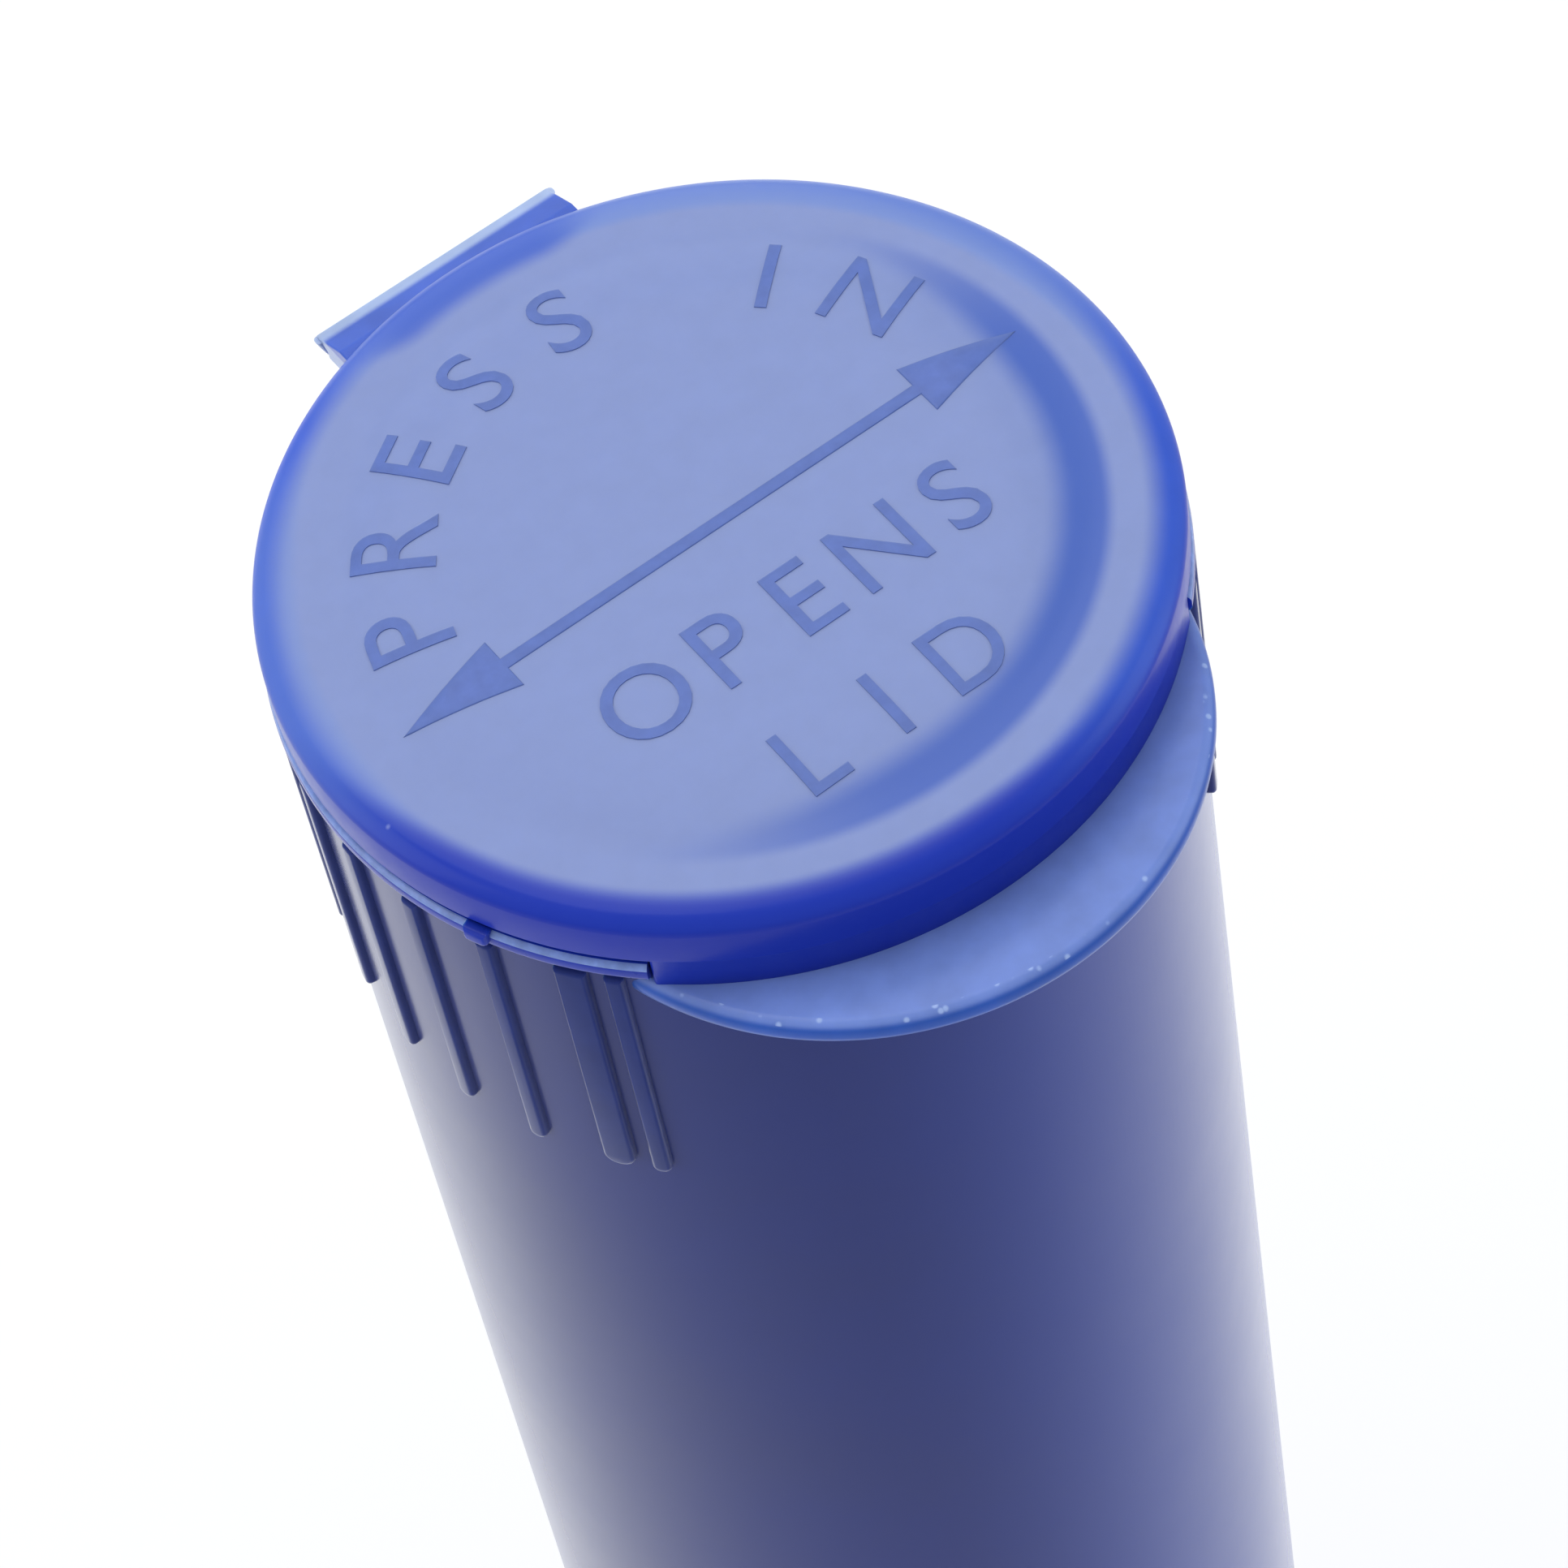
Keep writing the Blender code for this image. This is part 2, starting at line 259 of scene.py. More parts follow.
def makeBandGroup():
    # a band between two radii, strongest and widest towards one side and fading round the axis
    group, given, result = newGroup(
        "bandToOneSide",
        {"Place": "Vector", "Side": "Vector", "Side From": "Float", "Side To": "Float",
         "Inner Radius": "Float", "Outer Radius": "Float", "Soft Edge": "Float"},
        {"Mask": "Float"})
    flat = addNode(group, "VectorMath", {0: given["Place"], 1: (1, 1, 0)},
                   operation="MULTIPLY").outputs[0]
    radius = addNode(group, "VectorMath", {0: flat}, operation="LENGTH").outputs["Value"]
    outwards = addNode(group, "VectorMath", {0: flat}, operation="NORMALIZE").outputs[0]
    facing = addNode(group, "VectorMath", {0: outwards, 1: given["Side"]},
                     operation="DOT_PRODUCT").outputs["Value"]
    share = spread(group, facing, given["Side From"], given["Side To"])
    narrowing = maths(group, "MULTIPLY", maths(group, "SUBTRACT", 1.0, share), given["Soft Edge"])
    inner = maths(group, "ADD", given["Inner Radius"], narrowing)
    innerStart = maths(group, "SUBTRACT", inner, given["Soft Edge"])
    rise = spread(group, radius, innerStart, inner)
    halfEdge = maths(group, "MULTIPLY", given["Soft Edge"], 0.5)
    outerEnd = maths(group, "ADD", given["Outer Radius"], halfEdge)
    fall = spread(group, radius, given["Outer Radius"], outerEnd, 1.0, 0.0)
    ring = maths(group, "MULTIPLY", rise, fall)
    group.links.new(maths(group, "MULTIPLY", ring, share), result["Mask"])
    return group


depthGroup = makeDepthGroup()
skinGroup = makeSkinGroup()
bandGroup = makeBandGroup()

# colours are linear; sizes in metres
commonFinish = {
    "thinBlue": (0.25, 0.33, 0.64),
    "thickBlue": (0.02, 0.05, 0.45),
    "deepBlue": (0.02, 0.05, 0.40),
    "thinRadius": 1.0, "thickRadius": 2.0,
    "thinHeight": -1.0, "thickHeight": -2.0,
    "grainSize": 0.09 * mm, "grainStrength": 0.10, "grainDepth": 0.004 * mm,
    "mottleSize": 1.3 * mm, "mottleStrength": 0.10,
    "speckSize": 0.6 * mm, "speckShare": 0.004, "speckColour": (0.50, 0.58, 0.80),
    "speckLow": -1.0, "speckHigh": 1.0,
    "roughness": 0.38, "roughnessSpread": 0.10,
    "subsurface": 0.25, "scatter": 0.8 * mm, "scatterReach": (0.45, 0.6, 1.0),
    "coat": 0.15, "edgeCoat": 0.9, "glossFrom": 0.42, "glossTo": 0.80, "coatRoughness": 0.18,
    "sheen": 0.15, "sheenRoughness": 0.45, "sheenTint": (0.80, 0.87, 1.0),
    "ior": 1.49, "specular": 0.12,
    "bands": (),
    "fromAttribute": None,
}


def makeFinish(name, values):
    finish = dict(commonFinish, **values)
    material = bpy.data.materials.new(name)
    material.use_nodes = True
    tree = material.node_tree
    shader = tree.nodes["Principled BSDF"]
    if finish["fromAttribute"]:
        place = addNode(tree, "Attribute", attribute_name=finish["fromAttribute"]).outputs["Vector"]
    else:
        place = addNode(tree, "TexCoord").outputs["Object"]
    depth = addNode(tree, "Group", node_tree=depthGroup)
    skin = addNode(tree, "Group", node_tree=skinGroup)
    tree.links.new(place, depth.inputs["Place"])
    tree.links.new(place, skin.inputs["Place"])
    depth.inputs["Thin Blue"].default_value = (*finish["thinBlue"], 1)
    depth.inputs["Thick Blue"].default_value = (*finish["thickBlue"], 1)
    depth.inputs["Deep Blue"].default_value = (*finish["deepBlue"], 1)
    for socket, key in (("Thin Radius", "thinRadius"), ("Thick Radius", "thickRadius"),
                        ("Thin Height", "thinHeight"), ("Thick Height", "thickHeight")):
        depth.inputs[socket].default_value = finish[key]
    for socket, key in (("Grain Size", "grainSize"), ("Mottle Size", "mottleSize"),
                        ("Speck Size", "speckSize"), ("Speck Share", "speckShare"),
                        ("Speck Low", "speckLow"), ("Speck High", "speckHigh")):
        skin.inputs[socket].default_value = finish[key]
    low, high = skinValues["mottleLow"], skinValues["mottleHigh"]
    shade = spread(tree, skin.outputs["Mottle"], low, high, 1 - finish["mottleStrength"],
                   1 + finish["mottleStrength"], soft=False)
    shadeColour = addNode(tree, "CombineColor", {0: shade, 1: shade, 2: shade}).outputs[0]
    mottled = blendColours(tree, 1.0, depth.outputs["Colour"], shadeColour, "MULTIPLY")
    for band in finish["bands"]:
        side = math.radians(band["side"])
        mask = addNode(tree, "Group", {
            "Place": place, "Side": (math.cos(side), math.sin(side), 0), "Side From": band["from"],
            "Side To": band["to"], "Inner Radius": band["inner"] * mm,
            "Outer Radius": band["outer"] * mm, "Soft Edge": band["soft"] * mm},
            node_tree=bandGroup).outputs["Mask"]
        mottled = blendColours(tree, maths(tree, "MULTIPLY", mask, band["strength"]), mottled,
                               (*band["colour"], 1))
    colour = blendColours(tree, skin.outputs["Specks"], mottled, (*finish["speckColour"], 1))
    tree.links.new(colour, shader.inputs["Base Color"])
    rough = spread(tree, skin.outputs["Mottle"], low, high,
                   finish["roughness"] - finish["roughnessSpread"] / 2,
                   finish["roughness"] + finish["roughnessSpread"] / 2, soft=False)
    tree.links.new(rough, shader.inputs["Roughness"])
    bump = addNode(tree, "Bump", {"Height": skin.outputs["Height"],
                                  "Strength": finish["grainStrength"],
                                  "Distance": finish["grainDepth"]})
    tree.links.new(bump.outputs["Normal"], shader.inputs["Normal"])
    shader.inputs["IOR"].default_value = finish["ior"]
    shader.inputs["Specular IOR Level"].default_value = finish["specular"]
    shader.inputs["Subsurface Weight"].default_value = finish["subsurface"]
    shader.inputs["Subsurface Radius"].default_value = finish["scatterReach"]
    shader.inputs["Subsurface Scale"].default_value = finish["scatter"]
    facing = addNode(tree, "LayerWeight", {"Blend": 0.5}).outputs["Facing"]
    gloss = spread(tree, facing, finish["glossFrom"], finish["glossTo"], finish["coat"],
                   finish["edgeCoat"])
    tree.links.new(gloss, shader.inputs["Coat Weight"])
    shader.inputs["Coat Roughness"].default_value = finish["coatRoughness"]
    shader.inputs["Sheen Weight"].default_value = finish["sheen"]
    shader.inputs["Sheen Roughness"].default_value = finish["sheenRoughness"]
    shader.inputs["Sheen Tint"].default_value = (*finish["sheenTint"], 1)
    return material


tubeBlue = makeFinish("tubeBlue", {
    "thinBlue": (0.020, 0.034, 0.188), "deepBlue": (0.02, 0.03, 0.2),
    "thinHeight": 3.0 * mm, "thickHeight": 0.6 * mm,
    "coat": 0.15, "edgeCoat": 1.0, "specular": 0.05,
    "sheen": 0.04, "sheenRoughness": 0.3, "mottleSize": 5 * mm, "mottleStrength": 0.05,
    "speckShare": 0.0, "roughness": 0.42,
    # painted light: the tube's right-front side is painted a brighter, more saturated blue
    "bands": ({"side": -25, "from": -0.05, "to": 0.85, "inner": 1.0, "outer": 20.0, "soft": 0.5,
               "strength": 0.9, "colour": (0.030, 0.065, 0.36)},)})
rimBlue = makeFinish("rimBlue", {
    "thinBlue": (0.010, 0.034, 0.38), "roughness": 0.28, "sheen": 0.03, "edgeCoat": 0.5,
    "speckShare": 0.0})
# a painted highlight: the pale line along the tube bead's upper edge
rimHighlightBlue = makeFinish("rimHighlightBlue", {
    "thinBlue": (0.20, 0.30, 0.66), "coat": 0.5, "roughness": 0.25,
    "mottleSize": 0.6 * mm, "mottleStrength": 0.25, "speckShare": 0.0})
lidBlue = makeFinish("lidBlue", {
    "thinBlue": (0.212, 0.275, 0.54), "thickBlue": (0.038, 0.100, 0.55),
    "deepBlue": (0.004, 0.022, 0.45),
    "thinHeight": 97.50 * mm, "thickHeight": 97.22 * mm, "sheen": 0.0, "edgeCoat": 0.3,
    "thinRadius": 9.50 * mm, "thickRadius": 10.2 * mm, "speckShare": 0.001, "speckSize": 0.4 * mm,
    "mottleSize": 0.9 * mm, "mottleStrength": 0.025,
    "bands": (
        # painted shade: a dark crescent inside the crown's shoulder, widest on the right-front
        {"side": -50, "from": -0.05, "to": 0.75, "inner": 8.1, "outer": 8.62, "soft": 0.8,
         "strength": 0.9, "colour": (0.055, 0.120, 0.47)},
        # painted highlight: the rim painted paler towards the back-right
        {"side": 50, "from": 0.25, "to": 0.85, "inner": 9.6, "outer": 12.0, "soft": 0.3,
         "strength": 0.75, "colour": (0.155, 0.245, 0.58)},
        # painted highlight: the rim painted paler towards the back-left
        {"side": 160, "from": 0.75, "to": 1.0, "inner": 9.6, "outer": 12.0, "soft": 0.3,
         "strength": 0.4, "colour": (0.155, 0.245, 0.58)},
        # painted shade: the rim painted darker on its front-left side
        {"side": -125, "from": 0.35, "to": 0.85, "inner": 10.0, "outer": 12.0, "soft": 0.5,
         "strength": 0.85, "colour": (0.006, 0.026, 0.40)},
        {"side": 90, "from": 0.93, "to": 0.985, "inner": 9.55, "outer": 12.0, "soft": 0.55,
         "strength": 0.9, "colour": (0.050, 0.115, 0.52)})})
lidUnderBlue = makeFinish("lidUnderBlue", {
    "thinBlue": (0.150, 0.205, 0.50), "sheen": 0.0, "edgeCoat": 0.3, "speckShare": 0.0,
    "mottleSize": 1.5 * mm, "mottleStrength": 0.04})
flangeBlue = makeFinish("flangeBlue", {
    "thinBlue": (0.050, 0.115, 0.52), "deepBlue": (0.33, 0.43, 0.70), "sheen": 0.03,
    "thinHeight": 97.03 * mm, "thickHeight": 96.92 * mm, "speckShare": 0.0})
markBlue = makeFinish("markBlue", {
    "thinBlue": (0.098, 0.158, 0.46), "mottleStrength": 0.08, "sheen": 0.03,
    "mottleSize": 0.5 * mm, "speckShare": 0.0})
tabBlue = makeFinish("tabBlue", {
    "thinBlue": (0.165, 0.255, 0.62), "deepBlue": (0.022, 0.095, 0.46),
    "thinHeight": 95.41 * mm, "thickHeight": 95.26 * mm, "sheen": 0.03, "edgeCoat": 0.5,
    # painted glints: a dense band of pale specks along the rounding of the tab's outer edge
    "speckShare": 0.75, "speckSize": 0.30 * mm, "speckColour": (0.34, 0.46, 0.78),
    "speckLow": 95.33 * mm, "speckHigh": 95.4475 * mm})
plugBlue = makeFinish("plugBlue", {
    "thinBlue": (0.10, 0.16, 0.52), "deepBlue": (0.03, 0.07, 0.42),
    "thinHeight": 96.0 * mm, "thickHeight": 93.0 * mm})
ribBlue = makeFinish("ribBlue", {
    "thinBlue": (0.026, 0.042, 0.185), "coat": 0.0, "edgeCoat": 1.0, "specular": 0.05,
    "sheen": 0.05, "speckShare": 0.0})
webBlue = makeFinish("webBlue", {
    "thinBlue": (0.36, 0.45, 0.70), "deepBlue": (0.10, 0.18, 0.55), "thinHeight": 96.65 * mm,
    "thickHeight": 96.15 * mm, "fromAttribute": "restPlace", "sheen": 0.2})
print("finishes made")


roundSteps = 256  # faces round the tube's axis
mergeDistance = 1e-7
sharpAngle = math.radians(32)
flatAngle = 0.7  # edges between faces turned by more than this are rounded
cutterReach = 1 * mm  # how far a cutter passes the piece it cuts


def finishPiece(name, bm, material):
    bmesh.ops.remove_doubles(bm, verts=bm.verts, dist=mergeDistance)
    bmesh.ops.recalc_face_normals(bm, faces=bm.faces)
    mesh = bpy.data.meshes.new(name)
    bm.to_mesh(mesh)
    bm.free()
    mesh.materials.append(material)
    mesh.shade_smooth()
    mesh.set_sharp_from_angle(angle=sharpAngle)
    piece = bpy.data.objects.new(name, mesh)
    bpy.context.collection.objects.link(piece)
    return piece


def evenFlats(piece):
    even = piece.modifiers.new("evenFlats", "WEIGHTED_NORMAL")
    even.keep_sharp = True


def settle(piece):
    # applies the modifiers, then evens the shading of the flats
    evaluated = piece.evaluated_get(bpy.context.evaluated_depsgraph_get())
    mesh = bpy.data.meshes.new_from_object(evaluated)
    piece.modifiers.clear()
    bm = bmesh.new()
    bm.from_mesh(mesh)
    bmesh.ops.remove_doubles(bm, verts=bm.verts, dist=2 * mergeDistance)
    bmesh.ops.dissolve_degenerate(bm, edges=bm.edges, dist=2 * mergeDistance)
    bm.to_mesh(mesh)
    bm.free()
    mesh.shade_smooth()
    mesh.set_sharp_from_angle(angle=sharpAngle)
    piece.data = mesh
    evenFlats(piece)


def roundOff(bm, items, offset, segments, affect="EDGES", clamp=False):
    bmesh.ops.bevel(bm, geom=items, offset=offset, offset_type="OFFSET", segments=segments,
                    affect=affect, profile=0.5, material=-1, clamp_overlap=clamp)


def foldedEdges(bm, angle=flatAngle):
    return [edge for edge in bm.edges if edge.calc_face_angle(0) > angle]


def turnAll(bm, angle, axis):
    matrix = Matrix.Rotation(angle, 3, axis)
    bmesh.ops.rotate(bm, cent=(0, 0, 0), matrix=matrix, verts=bm.verts)


def drawOut(bm, faces, move):
    # extrudes the faces, and gives back the corners at the new end
    made = bmesh.ops.extrude_face_region(bm, geom=faces)["geom"]
    moved = [item for item in made if isinstance(item, bmesh.types.BMVert)]
    bmesh.ops.translate(bm, vec=move, verts=moved)
    return moved


def turnedMesh(corners, closed=False):
    # corners are (radius, height, rounding), joined in turn and spun once round the tube's axis
    bm = bmesh.new()
    verts = [bm.verts.new((radius, 0, height)) for radius, height, rounding in corners]
    for pair in zip(verts, verts[1:]):
        bm.edges.new(pair)
    if closed:
        bm.edges.new((verts[-1], verts[0]))
    for (radius, height, rounding), vert in zip(corners, verts):
        if rounding:
            roundOff(bm, [vert], rounding, 5, "VERTICES")
    bmesh.ops.spin(bm, geom=list(bm.verts) + list(bm.edges), cent=(0, 0, 0), axis=(0, 0, 1),
                   angle=2 * math.pi, steps=roundSteps, use_merge=True)
    return bm


def cutWith(piece, cutter, operation="DIFFERENCE"):
    modifier = piece.modifiers.new(operation.lower(), "BOOLEAN")
    modifier.operation = operation
    modifier.solver = "EXACT"
    modifier.object = cutter


def dropGuide(guide):
    bpy.data.objects.remove(guide, do_unlink=True)


def ringBlock(name, inner, outer, low, high, halfAngle, material, rounding=0.0):
    # a block bent round the axis, centred on the side of the thumb tab
    bm = bmesh.new()
    bmesh.ops.create_grid(bm, x_segments=1, y_segments=1, size=0.5)
    bmesh.ops.scale(bm, vec=(outer - inner, high - low, 1), verts=bm.verts)
    turnAll(bm, math.pi / 2, "X")
    bmesh.ops.translate(bm, vec=((inner + outer) / 2, 0, (low + high) / 2), verts=bm.verts)
    turnAll(bm, -math.pi / 2 - halfAngle, "Z")
    steps = round(roundSteps * halfAngle / math.pi)
    bmesh.ops.spin(bm, geom=list(bm.verts) + list(bm.edges) + list(bm.faces), cent=(0, 0, 0),
                   axis=(0, 0, 1), angle=2 * halfAngle, steps=steps)
    bmesh.ops.remove_doubles(bm, verts=bm.verts, dist=mergeDistance)
    bmesh.ops.recalc_face_normals(bm, faces=bm.faces)
    if rounding:
        roundOff(bm, foldedEdges(bm), rounding, 3)
    return finishPiece(name, bm, material)


def roundedBar(bm, size, place, endRound, edgeRound):
    # a bar on a wall: +X is outwards, its back stays flat and its lower end is round in plan
    bmesh.ops.create_cube(bm, size=1.0)
    bmesh.ops.scale(bm, vec=size, verts=bm.verts)
    low = [edge for edge in bm.edges if all(vert.co.z < 0 for vert in edge.verts)
           and abs(edge.verts[0].co.y - edge.verts[1].co.y) < mergeDistance]
    roundOff(bm, low, endRound, 8)
    face = size[0] / 2 - mergeDistance
    front = [edge for edge in bm.edges if all(vert.co.x > face for vert in edge.verts)]
    roundOff(bm, front, edgeRound, 4)
    bmesh.ops.transform(bm, matrix=place, verts=bm.verts)


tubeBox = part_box("tube")
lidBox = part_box("lid")
tubeValues = {
    "height": tubeBox[1].z,
    "rimRadius": 10.35 * mm,
    "rimRound": 0.2 * mm,
    "draft": math.radians(0.5),
    "wall": 1.0 * mm,
    "floor": 1.2 * mm,
    "floorRound": 0.8 * mm,
    "baseRound": 1.2 * mm,
    "beadRadius": 10.55 * mm,
    "beadHeight": 0.45 * mm,
    "beadFlare": 0.15 * mm,  # the height over which the wall widens to the bead
    "beadRound": 0.1 * mm,
    "beadShadow": 0.12 * mm,  # the rim's blue starts this far below the bead
    "highlightDepth": 0.13 * mm,  # the painted highlight along the bead's upper edge: a pale line
    "footRadius": 6.6 * mm,
    "footSlope": 0.3 * mm,
    "footRound": 0.12 * mm,
    "footDish": 0.25 * mm,
    "dishRound": 0.15 * mm,
    "gateRadius": 0.9 * mm,
    "gateHeight": 0.12 * mm,
    "gateSlope": 0.15 * mm,
    "gateTopRound": 0.08 * mm,
    "gateFootRound": 0.05 * mm,
    "lipStep": 9.81 * mm,  # the wall is thinned to this radius where the lid's lip sits
    "lipStepLow": 94.6 * mm,
    "lipStepHalf": math.radians(45.35),
    "nubAzimuth": math.radians(-157),
    "nubSize": (0.30 * mm, 0.62 * mm, 0.42 * mm),
    "nubOut": 0.02 * mm,
    "nubUp": 0.28 * mm,
    "nubEndRound": 0.15 * mm,
    "nubEdgeRound": 0.12 * mm,
}


def wallRadius(height):
    return tubeValues["rimRadius"] - (tubeValues["height"] - height) * math.tan(tubeValues["draft"])


def makeTube():
    t = tubeValues
    top = t["height"]
    beadLow = top - t["beadHeight"]
    bore = t["rimRadius"] - t["wall"]
    flareLow = beadLow - t["beadFlare"]
    gateLow = t["footDish"] + t["gateHeight"]
    corners = [
        (0, gateLow, 0),
        (t["gateRadius"], gateLow, t["gateTopRound"]),
        (t["gateRadius"] + t["gateSlope"], t["footDish"], t["gateFootRound"]),
        (t["footRadius"] - t["footSlope"], t["footDish"], t["dishRound"]),
        (t["footRadius"], 0, t["footRound"]),
        (wallRadius(0), 0, t["baseRound"]),
        (wallRadius(flareLow), flareLow, t["beadRound"]),
        (t["beadRadius"], beadLow, t["beadRound"]),
        (t["beadRadius"], top, t["rimRound"]),
        (bore, top, t["rimRound"]),
        (wallRadius(t["floor"]) - t["wall"], t["floor"], t["floorRound"]),
        (0, t["floor"], 0),
    ]
    tube = finishPiece("tubeBody", turnedMesh(corners), tubeBlue)
    step = ringBlock("stepGuide", t["lipStep"], t["beadRadius"] + cutterReach, t["lipStepLow"],
                     top + cutterReach, t["lipStepHalf"], tubeBlue)
    cutWith(tube, step)
    settle(tube)
    dropGuide(step)
    tube.data.materials.append(rimBlue)
    tube.data.materials.append(rimHighlightBlue)
    for face in tube.data.polygons:
        if face.center.z > beadLow - t["beadShadow"]:
            face.material_index = 1
        # faces along the bead's upper edge get the painted highlight line
        onEdge = math.hypot(face.center.x, face.center.y) > t["beadRadius"] - t["highlightDepth"]
        if onEdge and face.center.z > top - t["highlightDepth"]:
            face.material_index = 2
    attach(tube, "tube")
    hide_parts("tube")
    # small gate nub on the rim bead
    bm = bmesh.new()
    place = (Matrix.Rotation(t["nubAzimuth"], 4, "Z")
             @ Matrix.Translation((t["beadRadius"] + t["nubOut"], 0, beadLow + t["nubUp"])))
    roundedBar(bm, t["nubSize"], place, t["nubEndRound"], t["nubEdgeRound"])
    nub = finishPiece("rimNub", bm, rimBlue)
    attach(nub, "tube")


makeTube()
print("tube made")


ribValues = {
    "sunk": 0.15 * mm,
    "proud": 0.20 * mm,
    "edgeRound": 0.11 * mm,
    "lift": 0.22 * mm,  # they run up under the bead
    "narrow": 0.46 * mm,
    "wide": 0.78 * mm,
    "wideNumbers": (2, 8),
    "endShare": 0.47,  # the lower end's rounding, as a share of the rib's width
}


def makeRibs():
    r = ribValues
    for side in ("left", "right"):
        for number in range(1, 10):
            node = f"squeeze_rib_{side}_{number}"
            low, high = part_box(node)
            high.z += r["lift"]
            middle = (low + high) / 2
            azimuth = math.atan2(middle.y, middle.x)
            width = r["wide"] if number in r["wideNumbers"] else r["narrow"]
            depth = r["sunk"] + r["proud"]
            distance = wallRadius(middle.z) - r["sunk"] + depth / 2
            bm = bmesh.new()
            place = (Matrix.Rotation(azimuth, 4, "Z") @ Matrix.Translation((distance, 0, middle.z))
                     @ Matrix.Rotation(tubeValues["draft"], 4, "Y"))
            roundedBar(bm, (depth, width, high.z - low.z), place, width * r["endShare"],
                       r["edgeRound"])
            rib = finishPiece(f"rib{side.capitalize()}{number}", bm, ribBlue)
            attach(rib, "tube")
            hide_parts(node)


makeRibs()
print("ribs made")


lidValues = {
    "radius": 10.5 * mm,
    "under": 96.25 * mm,
    "underRound": 0.12 * mm,
    "sideTop": 97.35 * mm,
    "sideRound": 0.10 * mm,
    "ring": 97.75 * mm,
    "ringRound": 0.22 * mm,
    "slopeWidth": 0.72 * mm,
    "slopeShare": 0.30,  # where the slope bends, as a share of its width
    "slopeDrop": 0.16 * mm,
    "slopeRound": 0.18 * mm,
    "crown": lidBox[1].z,
    "crownRadius": 8.52 * mm,
    "crownRound": 0.9 * mm,
    "shoulder": 1.3 * mm,
    "shoulderRound": 0.32 * mm,
    "panel": 1.0 * mm,
    "recess": 8.1 * mm,
    "recessSlope": 0.15 * mm,
    "recessRound": 0.25 * mm,
    "recessEdge": 0.1 * mm,
    "lipBottom": lidBox[0].z,
    "lipWall": 0.5 * mm,
    "lipRadius": 10.46 * mm,
    "lipOut": 0.03 * mm,
    "lipUp": 0.5 * mm,  # how far the lip is sunk into the lid
    "lipRound": 0.12 * mm,
    "lipHalf": math.radians(45),
}


def makeLid():
    v = lidValues
    inside = v["crown"] - v["panel"]
    corners = [
        (0, inside, 0),
        (v["recess"] - v["recessSlope"], inside, v["recessRound"]),
        (v["recess"], v["under"], v["recessEdge"]),
        (v["radius"], v["under"], v["underRound"]),
        (v["radius"], v["sideTop"], v["sideRound"]),
        (v["radius"] - v["slopeWidth"] * v["slopeShare"], v["ring"] - v["slopeDrop"],
         v["slopeRound"]),
        (v["radius"] - v["slopeWidth"], v["ring"], v["ringRound"]),
        (v["crownRadius"], v["ring"], v["shoulderRound"]),
        (v["crownRadius"] - v["shoulder"], v["crown"], v["crownRound"]),
        (0, v["crown"], 0),
    ]
    lid = finishPiece("lidDisc", turnedMesh(corners), lidBlue)
    lip = ringBlock("lipGuide", v["lipRadius"] - v["lipWall"], v["lipRadius"] + v["lipOut"],
                    v["lipBottom"], v["under"] + v["lipUp"], v["lipHalf"], lidBlue, v["lipRound"])
    cutWith(lid, lip, "UNION")
    settle(lid)
    dropGuide(lip)
    lid.data.materials.append(lidUnderBlue)
    for face in lid.data.polygons:
        radius = math.hypot(face.center.x, face.center.y)
        if face.center.z < v["sideTop"] and radius < v["recess"] + v["lipWall"]:
            face.material_index = 1
    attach(lid, "lid")
    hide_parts("lid")
    return lid


lidDisc = makeLid()
print("lid made")


plugValues = {
    "radius": 9.25 * mm,
    "wall": 1.0 * mm,
    "land": 1.1 * mm,
    "landRound": 0.3 * mm,
    "taper": 0.3 * mm,
    "outerRound": 0.22 * mm,
    "innerRound": 0.2 * mm,
    "sunk": 0.3 * mm,
}


def makePlug():
    v = plugValues
    low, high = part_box("plug_ring")
    corners = [
        (v["radius"], high.z + v["sunk"], 0),
        (v["radius"], high.z - v["land"], v["landRound"]),
        (v["radius"] - v["taper"], low.z, v["outerRound"]),
        (v["radius"] - v["wall"], low.z, v["innerRound"]),
        (v["radius"] - v["wall"], high.z + v["sunk"], 0),
    ]
    plug = finishPiece("plugRing", turnedMesh(corners, closed=True), plugBlue)
    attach(plug, "lid")
    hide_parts("plug_ring")


makePlug()
print("plug made")


tabValues = {
    "edgeRound": 0.28 * mm,
    "sunk": 0.3 * mm,
    "tipOut": 0.15 * mm,  # the tab's two tips end this far outside the lip
}


def makeTab():
    low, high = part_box("thumb_tab")
    tip = high.x
    lip = lidValues["lipRadius"]
    tipY = -math.sqrt((lip + tabValues["tipOut"]) ** 2 - tip ** 2)
    centreY = -(low.y ** 2 - tipY ** 2 - tip ** 2) / (2 * (-low.y + tipY))
    radius = -low.y + centreY
    bm = bmesh.new()
    bmesh.ops.create_circle(bm, cap_ends=True, segments=roundSteps, radius=radius)
    drawOut(bm, list(bm.faces), (0, 0, high.z - low.z))
    roundOff(bm, foldedEdges(bm), tabValues["edgeRound"], 4)
    bmesh.ops.translate(bm, vec=(0, centreY, low.z), verts=bm.verts)
    tab = finishPiece("thumbTab", bm, tabBlue)
    inside, below, above = lip - tabValues["sunk"], low.z - cutterReach, high.z + cutterReach
    corners = [(0, below, 0), (inside, below, 0), (inside, above, 0), (0, above, 0)]
    guide = finishPiece("tabGuide", turnedMesh(corners), tabBlue)
    cutWith(tab, guide)
    settle(tab)
    dropGuide(guide)
    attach(tab, "lid")
    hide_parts("thumb_tab")


makeTab()
print("tab made")


